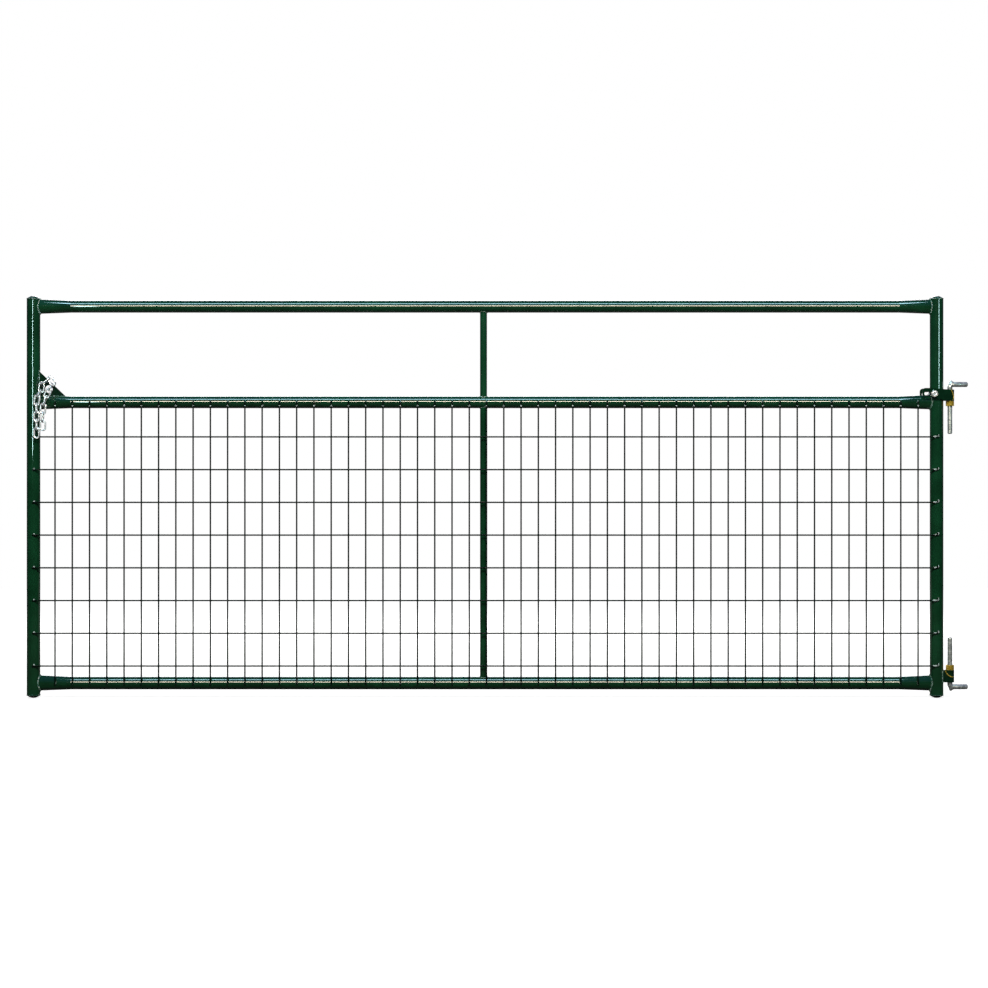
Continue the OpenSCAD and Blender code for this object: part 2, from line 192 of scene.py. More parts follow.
@dataclass(frozen=True)
class Finish:
    """A coating on steel: slow patches of colour and gloss, fine relief, and specks, which are handling marks in most
    finishes and painted glints in the weld and wire-end coats.
    """

    name: str
    slot: Slot
    dark: str
    light: str
    speck: str
    rough_low: float
    rough_high: float
    patch_mm: float
    relief_mm: float
    relief_height_mm: float
    speck_mm: float
    speck_share: float
    metallic: float = 0.0
    specular: float = 0.5

    def build(self) -> Material:
        """Makes the material from the finish's colours, gloss and real pattern sizes.

        Returns:
            The new material.
        """
        material, tree = new_material(self.name)
        place = add_node(tree, "ShaderNodeTexCoord").outputs["Object"]
        patches, fine, specks = (
            add_node(tree, "ShaderNodeTexNoise", {"Vector": place, "Scale": 1 / (size * MM), "Detail": detail,
                                                  "Roughness": roughness}).outputs["Fac"]
            for size, detail, roughness in ((self.patch_mm, 3.0, 0.5), (self.relief_mm, 2.0, 0.5),
                                            (self.speck_mm, 6.0, 0.65)))
        ground = blend(tree, remap(tree, patches, NOISE_SPAN), linear(self.dark), linear(self.light))
        edge = SPECK_MIDDLE + SPECK_REACH * (1 - self.speck_share)
        spots = remap(tree, specks, (edge, edge + SPECK_EDGE), (0.0, SPECK_STRENGTH))
        gloss = remap(tree, patches, NOISE_SPAN, (self.rough_low, self.rough_high))
        relief = add_node(tree, "ShaderNodeBump", {"Height": fine, "Strength": 1.0,
                                                   "Distance": self.relief_height_mm * MM})
        shader = add_node(tree, "ShaderNodeBsdfPrincipled", {
            "Base Color": blend(tree, spots, ground, linear(self.speck)), "Metallic": self.metallic,
            "Roughness": compute(tree, "MULTIPLY_ADD", spots, SPECK_DULLING, gloss),
            "Normal": relief.outputs["Normal"], "Specular IOR Level": self.specular})
        add_node(tree, "ShaderNodeOutputMaterial", {"Surface": shader.outputs["BSDF"]})
        return material


# Gloss polyester powder coat baked over steel tube: deep green, nearly black in shade, with sharp lamp
# lines, a faint orange peel of 2 to 3 mm, and pale specks where it was handled.
GREEN_COAT = Finish(
    "gloss_green_powder_coat", Slot.GREEN, dark="#0c361c", light="#134b2b", speck="#2c5a42",
    rough_low=0.05, rough_high=0.08, patch_mm=90.0, relief_mm=2.6,
    relief_height_mm=0.002, speck_mm=7.0, speck_share=0.12, specular=1.0)
# The same coat on flat bar and plate, painted darker as shade: flat faces mirror no lamp to the front and look nearly
# black.
SHADED_PLATE_COAT = Finish(
    "gloss_green_powder_coat_on_flat_bar_painted_darker", Slot.GREEN, dark="#072313", light="#0d331d", speck="#25503a",
    rough_low=0.04, rough_high=0.06, patch_mm=60.0, relief_mm=2.6,
    relief_height_mm=0.002, speck_mm=6.0, speck_share=0.15, specular=0.35)
# The same coat over a weld: thicker in the ripples, painted lighter, with near-white specks as painted glints on the
# crowns.
WELD_COAT_WITH_PAINTED_GLINTS = Finish(
    "green_powder_coat_over_weld_with_painted_glints", Slot.GREEN, dark="#0f3a20", light="#3f7a5c", speck="#eef5f0",
    rough_low=0.08, rough_high=0.16, patch_mm=7.0, relief_mm=1.2,
    relief_height_mm=0.02, speck_mm=3.0, speck_share=0.95, specular=1.0)
# The coat on drawn wire, painted nearly black as shade, as the thin round shows little of its green against the
# light.
SHADED_WIRE_COAT = Finish(
    "green_powder_coat_on_drawn_wire_painted_dark", Slot.GREEN, dark="#04110a", light="#081d12", speck="#1a3526",
    rough_low=0.16, rough_high=0.26, patch_mm=60.0, relief_mm=1.6,
    relief_height_mm=0.004, speck_mm=5.0, speck_share=0.2, specular=0.1)
# The coat on a pressed and welded wire end, painted pale green-white as a glint against the tube.
WIRE_END_PAINTED_GLINT = Finish(
    "welded_wire_end_painted_glint", Slot.GREEN, dark="#7c9488", light="#dfe9e2", speck="#f4f7f2",
    rough_low=0.12, rough_high=0.2, patch_mm=5.0, relief_mm=1.0,
    relief_height_mm=0.01, speck_mm=2.0, speck_share=0.4)
# Bright zinc electroplate with a clear passivate: near white metal with a faint blue cast.
BRIGHT_ZINC = Finish(
    "bright_zinc_electroplate", Slot.BRIGHT, dark="#e4e9ea", light="#fbfcfa", speck="#a2a8a6",
    metallic=0.5, rough_low=0.18, rough_high=0.30, patch_mm=9.0, relief_mm=0.7,
    relief_height_mm=0.01, speck_mm=2.2, speck_share=0.3)
# Dull zinc electroplate on rolled bar: grey and satin, with darker stains left by handling.
GREY_ZINC = Finish(
    "dull_zinc_electroplate", Slot.GREY, dark="#b4bbb5", light="#e2e8e1", speck="#6f7267",
    metallic=0.6, rough_low=0.20, rough_high=0.32, patch_mm=12.0, relief_mm=0.8,
    relief_height_mm=0.015, speck_mm=3.0, speck_share=0.4)
# Zinc electroplate with a yellow chromate: gold that drifts to straw and olive over a few millimetres.
YELLOW_ZINC = Finish(
    "yellow_chromate_zinc", Slot.YELLOW, dark="#d29a14", light="#ffe15e", speck="#9a7c2e",
    metallic=0.5, rough_low=0.20, rough_high=0.32, patch_mm=5.0, relief_mm=0.7,
    relief_height_mm=0.01, speck_mm=2.0, speck_share=0.5)


@dataclass
class Palette:
    """The built materials of the gate, one for each finish."""

    built: dict[str, Material] = field(default_factory=dict)

    def get(self, finish: Finish) -> Material:
        """Gives the finish's material, built on first use.

        Args:
            finish: The finish.

        Returns:
            Its one material.
        """
        if finish.name not in self.built:
            self.built[finish.name] = finish.build()
        return self.built[finish.name]

    def dress(self, nodes: Iterable[str], finish: Finish) -> None:
        """Assigns a finish to every material slot of the named nodes.

        Args:
            nodes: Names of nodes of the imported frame.
            finish: The finish that they wear.
        """
        for name in nodes:
            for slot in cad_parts[name].material_slots:
                slot.material = self.get(finish)
            LOG.info("dressed %s in %s", name, finish.name)


def new_object(name: str, data: ID) -> Object:
    """Links a new object at the origin.

    Args:
        name: The object's name.
        data: Its mesh, light or camera.

    Returns:
        The object.
    """
    piece = bpy.data.objects.new(name, data)
    bpy.context.scene.collection.objects.link(piece)
    return piece


def settle(piece: Object, body: str = GATE) -> Object:
    """Sets a finished piece on its body and reports it.

    Args:
        piece: The new piece, a mesh at the origin.
        body: The body that it rides on.

    Returns:
        The piece.
    """
    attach(piece, body)
    LOG.info("made %s on %s, %d faces", piece.name, body, len(piece.data.polygons))
    return piece


class Grower:
    """Turns a seed mesh to a finished one through a Geometry Nodes tree with named inputs."""

    def __init__(self, tree_name: str) -> None:
        """Starts an empty tree with a geometry input, a material input and a geometry output.

        Args:
            tree_name: The tree's name.
        """
        self.tree = bpy.data.node_groups.new(tree_name, "GeometryNodeTree")
        self.tree.interface.new_socket("Geometry", in_out="OUTPUT", socket_type="NodeSocketGeometry")
        self.add_input("Geometry", "NodeSocketGeometry")
        self.add_input("Finish", "NodeSocketMaterial")
        self.entry = self.tree.nodes.new("NodeGroupInput")

    def add_input(self, name: str, kind: str) -> None:
        """Adds a named input of the given socket type."""
        self.tree.interface.new_socket(name, in_out="INPUT", socket_type=kind)

    def use_inputs(self, sizes: Sequence[str]) -> dict[str, Socket]:
        """Adds inputs for sizes and a seed.

        Args:
            sizes: Names of the inputs that are lengths or counts.

        Returns:
            The entry node's sockets by name.
        """
        for name in sizes:
            self.add_input(name, "NodeSocketFloat")
        self.add_input("Seed", "NodeSocketInt")
        return {name: self.entry.outputs[name] for name in (*sizes, "Seed", "Geometry", "Finish")}

    def finish(self, instances: Socket) -> None:
        """Ends the tree: realises the instances and sets their material.

        Args:
            instances: The geometry that the tree has made.
        """
        real = add_node(self.tree, "GeometryNodeRealizeInstances", {0: instances})
        dressed = add_node(self.tree, "GeometryNodeSetMaterial", {"Geometry": real.outputs[0],
                                                                  "Material": self.entry.outputs["Finish"]})
        shown = add_node(self.tree, "GeometryNodeSetShadeSmooth", {"Geometry": dressed.outputs[0]})
        add_node(self.tree, "NodeGroupOutput", {0: shown.outputs[0]})

    def grow(self, name: str, seed_mesh: Mesh, values: dict[str, object]) -> Object:
        """Runs the tree on a seed mesh and keeps the result as a plain mesh.

        Args:
            name: The piece's name.
            seed_mesh: Points or lines from which the tree grows.
            values: Values of the named inputs.

        Returns:
            An object at the origin, with no modifier.
        """
        piece = new_object(name, seed_mesh)
        modifier = piece.modifiers.new("grow", "NODES")
        modifier.node_group = self.tree
        for item in self.tree.interface.items_tree:
            if item.in_out == "INPUT" and item.name in values:
                modifier[item.identifier] = values[item.name]
        grown = bpy.data.meshes.new_from_object(piece.evaluated_get(bpy.context.evaluated_depsgraph_get()))
        piece.modifiers.remove(modifier)
        piece.data = grown
        grown.name = name
        return piece


def line_mesh(name: str, lines: Sequence[Sequence[Vector]]) -> Mesh:
    """Makes a mesh of open or closed lines of points.

    Args:
        name: The mesh's name.
        lines: Each line's points in order; a line is closed where its last point repeats its first.

    Returns:
        A mesh of vertices and edges.
    """
    points: list[Vector] = []
    edges: list[tuple[int, int]] = []
    for line in lines:
        start = len(points)
        closed = (line[0] - line[-1]).length < TOUCH
        own = list(line[:-1]) if closed else list(line)
        points.extend(own)
        edges.extend((start + i, start + i + 1) for i in range(len(own) - 1))
        if closed:
            edges.append((start + len(own) - 1, start))
    mesh = bpy.data.meshes.new(name)
    mesh.from_pydata(points, edges, [])
    return mesh


def weld_bead_tree() -> Grower:
    """Makes the tree of a weld bead: overlapping ripples laid along a line, each a flattened round.

    Returns:
        The tree, ready to grow.
    """
    grower = Grower("weld bead")
    inputs = grower.use_inputs(["Ripple pitch", "Bead radius", "Ripple length"])
    tree = grower.tree
    path = add_node(tree, "GeometryNodeMeshToCurve", {"Mesh": inputs["Geometry"]})
    steps = add_node(tree, "GeometryNodeResampleCurve", {"Curve": path.outputs[0], "Length": inputs["Ripple pitch"]},
                     mode="LENGTH")
    way = add_node(tree, "GeometryNodeInputTangent")
    turn = add_node(tree, "FunctionNodeAlignRotationToVector", {"Vector": way.outputs[0]}, axis="Z")
    ripple = add_node(tree, "GeometryNodeMeshUVSphere", WELD_ROUND)
    spread = add_node(tree, "FunctionNodeRandomValue", {
        2: RIPPLE_WIDTHS[0], 3: RIPPLE_WIDTHS[1], "Seed": inputs["Seed"]}, data_type="FLOAT")
    width = compute(tree, "MULTIPLY", inputs["Bead radius"], spread.outputs[1])
    size = add_node(tree, "ShaderNodeCombineXYZ", {0: width, 1: width, 2: inputs["Ripple length"]})
    laid = add_node(tree, "GeometryNodeInstanceOnPoints", {
        "Points": steps.outputs[0], "Instance": ripple.outputs[0], "Rotation": turn.outputs[0],
        "Scale": size.outputs[0]})
    grower.finish(laid.outputs[0])
    return grower


def weld_spot_tree() -> Grower:
    """Makes the tree of weld spots: one flattened round at each point, sized by the point's own attribute.

    Returns:
        The tree, ready to grow.
    """
    grower = Grower("weld spots")
    inputs = grower.use_inputs(["Spread"])
    tree = grower.tree
    points = add_node(tree, "GeometryNodeMeshToPoints", {"Mesh": inputs["Geometry"]})
    spot = add_node(tree, "GeometryNodeMeshUVSphere", WELD_ROUND)
    stored = add_node(tree, "GeometryNodeInputNamedAttribute", {"Name": "half_size"}, data_type="FLOAT_VECTOR")
    low, high = (compute(tree, way, 1.0, inputs["Spread"]) for way in ("SUBTRACT", "ADD"))
    vary = add_node(tree, "FunctionNodeRandomValue", {2: low, 3: high, "Seed": inputs["Seed"]}, data_type="FLOAT")
    size = add_node(tree, "ShaderNodeVectorMath", {0: stored.outputs[0], "Scale": vary.outputs[1]}, operation="SCALE")
    laid = add_node(tree, "GeometryNodeInstanceOnPoints", {
        "Points": points.outputs[0], "Instance": spot.outputs[0], "Scale": size.outputs[0]})
    grower.finish(laid.outputs[0])
    return grower


def thread_tree() -> Grower:
    """Makes the tree of a rolled thread: a grid wound to a helical V profile, cut flat at both ends.

    Returns:
        The tree, ready to grow.
    """
    grower = Grower("rolled thread")
    inputs = grower.use_inputs(["Crest radius", "Thread depth", "Pitch", "Length", "Rows", "Tip chamfer"])
    tree = grower.tree
    around, spare_turns = 24, 2.0
    grid = add_node(tree, "GeometryNodeMeshGrid", {"Size X": 1.0, "Size Y": 1.0, "Vertices X": around + 1})
    rows = add_node(tree, "FunctionNodeFloatToInt", {0: inputs["Rows"]})
    tree.links.new(rows.outputs[0], grid.inputs["Vertices Y"])
    spot = add_node(tree, "ShaderNodeSeparateXYZ", {0: add_node(tree, "GeometryNodeInputPosition").outputs[0]})
    turn = compute(tree, "ADD", spot.outputs[0], 0.5)
    last_row = compute(tree, "SUBTRACT", inputs["Rows"], 1.0)
    along = compute(tree, "ADD", spot.outputs[1], 0.5)
    row = compute(tree, "ROUND", compute(tree, "MULTIPLY", along, last_row))
    turns = compute(tree, "SUBTRACT", compute(tree, "MULTIPLY_ADD", row, 0.5, turn), spare_turns)
    rise = compute(tree, "MULTIPLY", inputs["Pitch"], turns)
    height = compute(tree, "MINIMUM", compute(tree, "MAXIMUM", rise, 0.0), inputs["Length"])
    sunk = compute(tree, "MULTIPLY", compute(tree, "MODULO", row, 2.0), inputs["Thread depth"])
    radius = compute(tree, "SUBTRACT", inputs["Crest radius"], sunk)
    left = compute(tree, "SUBTRACT", inputs["Length"], height)
    cut = compute(tree, "SUBTRACT", inputs["Tip chamfer"], left)
    shown = compute(tree, "MINIMUM", radius, compute(tree, "SUBTRACT", inputs["Crest radius"], cut))
    angle = compute(tree, "MULTIPLY", turn, math.tau)
    x, y = (compute(tree, "MULTIPLY", shown, compute(tree, wave, angle)) for wave in ("COSINE", "SINE"))
    place = add_node(tree, "ShaderNodeCombineXYZ", {0: x, 1: y, 2: height})
    wound = add_node(tree, "GeometryNodeSetPosition", {"Geometry": grid.outputs[0], "Position": place.outputs[0]})
    closed = add_node(tree, "GeometryNodeMergeByDistance", {"Geometry": wound.outputs[0], "Distance": TOUCH})
    grower.finish(closed.outputs[0])
    return grower


@dataclass(frozen=True)
class Thread:
    """Sizes of a rolled thread in millimetres, and the rows that lie past its two cut ends."""

    crest_r: float
    depth: float
    pitch: float
    chamfer: float
    spare_rows: int = 6

    def wind(self, name: str, length: float, place: Matrix, material: Material) -> Object:
        """Winds a length of thread.

        Args:
            name: The piece's name.
            length: The thread's length.
            place: Sets the thread, wound up from the origin, in its place.
            material: What it is made of.

        Returns:
            The piece.
        """
        rows = 2 * math.ceil(length / self.pitch) + self.spare_rows
        piece = thread_tree().grow(name, bpy.data.meshes.new(name), {
            "Finish": material, "Crest radius": self.crest_r * MM, "Thread depth": self.depth * MM,
            "Pitch": self.pitch * MM, "Length": length * MM, "Rows": float(rows), "Tip chamfer": self.chamfer * MM})
        close_shell(piece.data)
        piece.data.transform(place)
        return piece


def sweep(name: str, rings: Sequence[Sequence[Vector]], material: Material) -> Object:
    """Lofts closed rings of equal count, with a flat face at both ends.

    Args:
        name: The piece's name.
        rings: Rings of points in order along the piece.
        material: What it is made of.

    Returns:
        A closed piece with its normals outward.
    """
    form = bmesh.new()
    rows = [[form.verts.new(p) for p in ring] for ring in rings]
    for low, high in zip(rows, rows[1:]):
        for i in range(len(low)):
            j = (i + 1) % len(low)
            form.faces.new((low[i], low[j], high[j], high[i])).smooth = True
    form.faces.new(rows[0])
    form.faces.new(rows[-1])
    bmesh.ops.recalc_face_normals(form, faces=form.faces)
    mesh = bpy.data.meshes.new(name)
    form.to_mesh(mesh)
    form.free()
    mesh.materials.append(material)
    return new_object(name, mesh)


def close_shell(mesh: Mesh) -> None:
    """Closes a mesh's open ends with flat faces and turns all its faces outward.

    Args:
        mesh: The mesh, changed in place.
    """
    form = bmesh.new()
    form.from_mesh(mesh)
    bmesh.ops.dissolve_degenerate(form, dist=TOUCH, edges=form.edges)
    bmesh.ops.holes_fill(form, edges=[e for e in form.edges if e.is_boundary], sides=0)
    bmesh.ops.recalc_face_normals(form, faces=form.faces)
    form.to_mesh(mesh)
    form.free()


@dataclass
class Welds:
    """Weld beads and spots of the frame, painted over with the rest of the gate."""

    palette: Palette
    ripple_pitch: float = 2.4
    bead_r: float = 2.6
    ripple_l: float = 1.9
    spot_spread: float = 0.12
    seed: int = 7
    rail_scale: float = 1.15
    small_scale: float = 0.8
    plate_scale: float = 0.85
    streak_scale: float = 0.55

    def bead(self, name: str, lines: Sequence[Sequence[Vector]], scale: float, finish: Finish = WELD_COAT_WITH_PAINTED_GLINTS) -> Object:
        """Lays rippled beads on the gate along lines.

        Args:
            name: The piece's name.
            lines: The lines' points in metres.
            scale: Size against the usual bead.
            finish: The finish over the weld.

        Returns:
            The piece.
        """
        piece = weld_bead_tree().grow(name, line_mesh(name, lines), {
            "Finish": self.palette.get(finish), "Ripple pitch": self.ripple_pitch * scale * MM,
            "Bead radius": self.bead_r * scale * MM, "Ripple length": self.ripple_l * scale * MM, "Seed": self.seed})
        return settle(piece)

    def spots(self, name: str, places: Sequence[tuple[Vector, Point]], finish: Finish = WELD_COAT_WITH_PAINTED_GLINTS, body: str = GATE,
              at: Matrix | None = None) -> Object:
        """Sets one weld spot at each place.

        Args:
            name: The piece's name.
            places: Each spot's middle in metres and its half sizes in millimetres.
            finish: The finish over the weld.
            body: The body that carries the spots.
            at: Where the places are taken from, if not the frame itself.

        Returns:
            The piece.
        """
        mesh = bpy.data.meshes.new(name)
        mesh.from_pydata([p for p, _ in places], [], [])
        sizes = mesh.attributes.new("half_size", "FLOAT_VECTOR", "POINT")
        for i, (_, half) in enumerate(places):
            sizes.data[i].vector = Vector(half) * MM
        piece = weld_spot_tree().grow(name, mesh, {
            "Finish": self.palette.get(finish), "Spread": self.spot_spread, "Seed": self.seed})
        if at:
            piece.data.transform(at)
        return settle(piece, body)


@dataclass
class TubeFrame:
    """Stiles with their caps, rails with crimped ends, centre posts, and the welds that join them."""

    welds: Welds
    palette: Palette
    bead_steps: int = 48
    # Only the top rims wear the weld coat with its painted glints; the foot rims wear the plain tube coat.
    cap_rims: tuple[tuple[str, float, Finish], ...] = (
        ("foot_cap_welds", 9.0, GREEN_COAT), ("top_cap_welds", 1261.0, WELD_COAT_WITH_PAINTED_GLINTS))
    cap_bead_r: float = 20.4
    cap_gap_deg: float = 22.0
    tubes: tuple[str, ...] = (
        "left_stile", "right_stile", "left_top_cap", "left_foot_cap", "right_top_cap", "right_foot_cap",
        "top_rail", "middle_rail", "bottom_rail", "upper_post", "lower_post")

    def build(self) -> None:
        """Dresses the tubes and lays their welds."""
        self.palette.dress(self.tubes, GREEN_COAT)
        rails = {"top": (SIZES.top_rail_z, SIZES.rail_r, 0.0), "middle": (SIZES.middle_rail_z, SIZES.rail_r, 0.0),
                 "bottom": (SIZES.bottom_rail_z, SIZES.bottom_rail_r, SIZES.bottom_rail_y)}
        for name, (z, r, y) in rails.items():
            self.welds.bead(f"{name}_rail_welds", [self.cope_line(side, z, r, y) for side in Side],
                            self.welds.rail_scale)
        for post, below, above in (("upper", "middle", "top"), ("lower", "bottom", "middle")):
            lines = [self.post_line(*rails[below], 1), self.post_line(*rails[above], -1)]
            self.welds.bead(f"{post}_post_welds", lines, self.welds.small_scale)
        for name, z, finish in self.cap_rims:
            self.welds.bead(name, [self.cap_line(side, z) for side in Side], self.welds.small_scale, finish)

    def cap_line(self, side: Side, z: float) -> list[Vector]:
        """Gives the line round a cap's rim, open at the gate's outermost edge.

        Args:
            side: The stile's side of the gate.
            z: The rim's height.

        Returns:
            The line's points.
        """
        first = math.radians(self.cap_gap_deg)
        line = []
        for i in range(self.bead_steps + 1):
            turn = first + (math.tau - 2 * first) * i / self.bead_steps
            line.append(SIZES.row(side.value * (SIZES.stile_x + self.cap_bead_r * math.cos(turn)),
                                  self.cap_bead_r * math.sin(turn), z))
        return line

    def cope_line(self, side: Side, z: float, r: float, y: float) -> list[Vector]:
        """Gives the closed line where a crimped rail meets the stile's round.

        Args:
            side: The stile's side of the gate.
            z: The height of the rail's axis.
            r: The rail's radius.
            y: The depth of the rail's axis.

        Returns:
            The line's points.
        """
        half_h = r + SIZES.crimp_gain / 2
        half_y = r - SIZES.crimp_loss / 2
        line = []
        for turn in ring_turns(self.bead_steps):
            at_y = y + half_y * math.cos(turn)
            reach = math.sqrt(SIZES.stile_r ** 2 - at_y ** 2)
            line.append(SIZES.row(side.value * (SIZES.stile_x - reach), at_y, z + half_h * math.sin(turn)))
        return [*line, line[0]]

    def post_line(self, rail_z: float, rail_r: float, rail_y: float, way: int) -> list[Vector]:
        """Gives the closed line where a centre post meets a rail.

        Args:
            rail_z: The height of the rail's axis.
            rail_r: The rail's radius.
            rail_y: The depth of the rail's axis.
            way: One where the post stands on the rail, minus one where it hangs below it.

        Returns:
            The line's points.
        """
        line = []
        for turn in ring_turns(self.bead_steps):
            at_y = SIZES.post_r * math.sin(turn)
            rise = math.sqrt(rail_r ** 2 - (at_y - rail_y) ** 2)
            line.append(SIZES.row(SIZES.post_x + SIZES.post_r * math.cos(turn), at_y, rail_z + way * rise))
        return [*line, line[0]]


@dataclass(frozen=True)
class Spot:
    """A weld spot in millimetres: how far it lies from its wire's axes, and its half sizes."""

    shift: Point
    half: Point

    def at(self, x: float, y: float, z: float) -> tuple[Vector, Point]:
        """Gives the spot's middle in metres and its half sizes, from a point on the wire."""
        return SIZES.row(x + self.shift[0], y + self.shift[1], z + self.shift[2]), self.half


@dataclass
class WireFill:
    """Line wires and stay wires, with the spot welds at their crossings and on the tubes."""

    welds: Welds
    palette: Palette
    line_top: float = 824.0
    line_bottom: float = 102.0
    line_count: int = 8
    stay_first: float = -1355.2
    stay_pitch: float = 54.4
    stay_count: int = 51
    crossing: Spot = Spot((0.0, 0.0, 0.0), (3.3, 2.9, 3.3))
    stay_tip: Spot = Spot((0.0, -0.5, -12.0), (3.0, 2.6, 3.2))
    left_tip: Spot = Spot((6.0, -0.4, 3.0), (3.6, 2.7, 2.8))
    # The bar along each right wire end over the stile is a painted pale highlight on the wire's top.
    right_glint_streak: Spot = Spot((-8.0, 0.0, 0.3), (11.0, 2.8, 2.8))
    right_hook: Spot = Spot((2.0, -0.3, 4.0), (2.9, 2.8, 5.0))
    foot: Spot = Spot((0.0, 1.6, 0.0), (3.6, 2.0, 5.0))

    def build(self) -> None:
        """Dresses the wires and sets their welds."""
        self.palette.dress(("line_wires", "stay_wires"), SHADED_WIRE_COAT)
        lines = [self.line_top + i * (self.line_bottom - self.line_top) / (self.line_count - 1)
                 for i in range(self.line_count)]
        stays = [self.stay_first + i * self.stay_pitch for i in range(self.stay_count)]
        between = (SIZES.line_y + SIZES.stay_y) / 2
        crossings = [self.crossing.at(x, between, z) for x in stays for z in lines]
        self.welds.spots("wire_crossing_welds", crossings, SHADED_WIRE_COAT)
        # The tip spots and the right-end bars wear the coat painted pale as a glint.
        tips = [self.stay_tip.at(x, SIZES.stay_y, SIZES.middle_rail_z) for x in stays]
        tips += [self.left_tip.at(-SIZES.stile_x, SIZES.line_y, z) for z in lines]
        tips += [spot.at(SIZES.stile_x, SIZES.line_y, z) for z in lines for spot in (self.right_glint_streak, self.right_hook)]
        self.welds.spots("wire_tip_welds_painted_glints", tips, WIRE_END_PAINTED_GLINT)
        feet = [self.foot.at(x, SIZES.stay_y, z) for x in stays for z in (SIZES.bottom_rail_z, SIZES.middle_rail_z)]
        self.welds.spots("wire_side_welds", feet)


@dataclass
class ChainFixing:
    """Corner plate, the fixed link and the two strands of loose links."""

    welds: Welds
    palette: Palette
    plate_front_y: float = -8.5
    fixed_link: str = "anchor_link"
    link_bend_r: float = 7.75
    inward_share: float = 0.5
    swell: Point = (3.1, 3.1, 4.0)
    bead_out: float = 0.4
    upright_bead: tuple[float, ...] = (62.0, 80.0, 98.0)
    level_bead_from: float = 24.0
    level_bead_step: float = 9.4
    level_bead_points: int = 9

    def build(self) -> None:
        """Dresses plate and chain, and lays the plate's welds."""
        self.palette.dress(("chain_plate",), SHADED_PLATE_COAT)
        links = sorted(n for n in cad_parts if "_link" in n)
        self.palette.dress(links, BRIGHT_ZINC)
        self.welds.bead("chain_plate_welds", self.plate_lines(), self.welds.plate_scale)
        for link in links:
            self.link_weld(link)

    def link_weld(self, link: str) -> None:
        """Sets the butt weld's bulge on the side of one link that faces the gate or its middle.

        Args:
            link: The link's node.
        """
        points = np.array([v.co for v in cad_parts[link].data.vertices])
        middle = (points.max(axis=0) + points.min(axis=0)) / 2
        _, _, axes = np.linalg.svd(points - points.mean(axis=0), full_matrices=False)
        long_way, wide_way = Vector(axes[0]), Vector(axes[1])
        if wide_way.y + self.inward_share * wide_way.x < 0:
            wide_way.negate()
        place = Vector(middle) + wide_way * self.link_bend_r * MM
        turn = long_way.to_track_quat("Z", "Y").to_matrix().to_4x4()
        body = GATE if link == self.fixed_link else link
        self.welds.spots(f"{link}_weld", [(Vector(), self.swell)], BRIGHT_ZINC, body,
                         Matrix.Translation(place) @ turn)

    def rail_half(self, x: float) -> tuple[float, float]:
        """Gives the middle rail's half sizes at one place.

        Args:
            x: The place across, from the gate's middle.

        Returns:
            Half the height and half the depth.
        """
        share = max(0.0, (abs(x) - (SIZES.stile_x - SIZES.crimp_len)) / SIZES.crimp_len)
        return SIZES.rail_r + share * SIZES.crimp_gain / 2, SIZES.rail_r - share * SIZES.crimp_loss / 2

    def plate_lines(self) -> list[list[Vector]]:
        """Gives the lines along which the plate is welded to the stile and to the rail, in front.

        Returns:
            The upright line, clear of the chain's swing, and the level line.
        """
        y = self.plate_front_y
        stile_side = -SIZES.stile_x + math.sqrt(SIZES.stile_r ** 2 - y ** 2)
        up = [SIZES.row(stile_side + self.bead_out, y - self.bead_out, SIZES.middle_rail_z + z)
              for z in self.upright_bead]
        along = []
        for i in range(self.level_bead_points):
            x = -SIZES.stile_x + self.level_bead_from + i * self.level_bead_step
            half_h, half_y = self.rail_half(x)
            top = half_h * math.sqrt(1 - (y / half_y) ** 2)
            along.append(SIZES.row(x, y - self.bead_out, SIZES.middle_rail_z + top + self.bead_out))
        return [up, along]


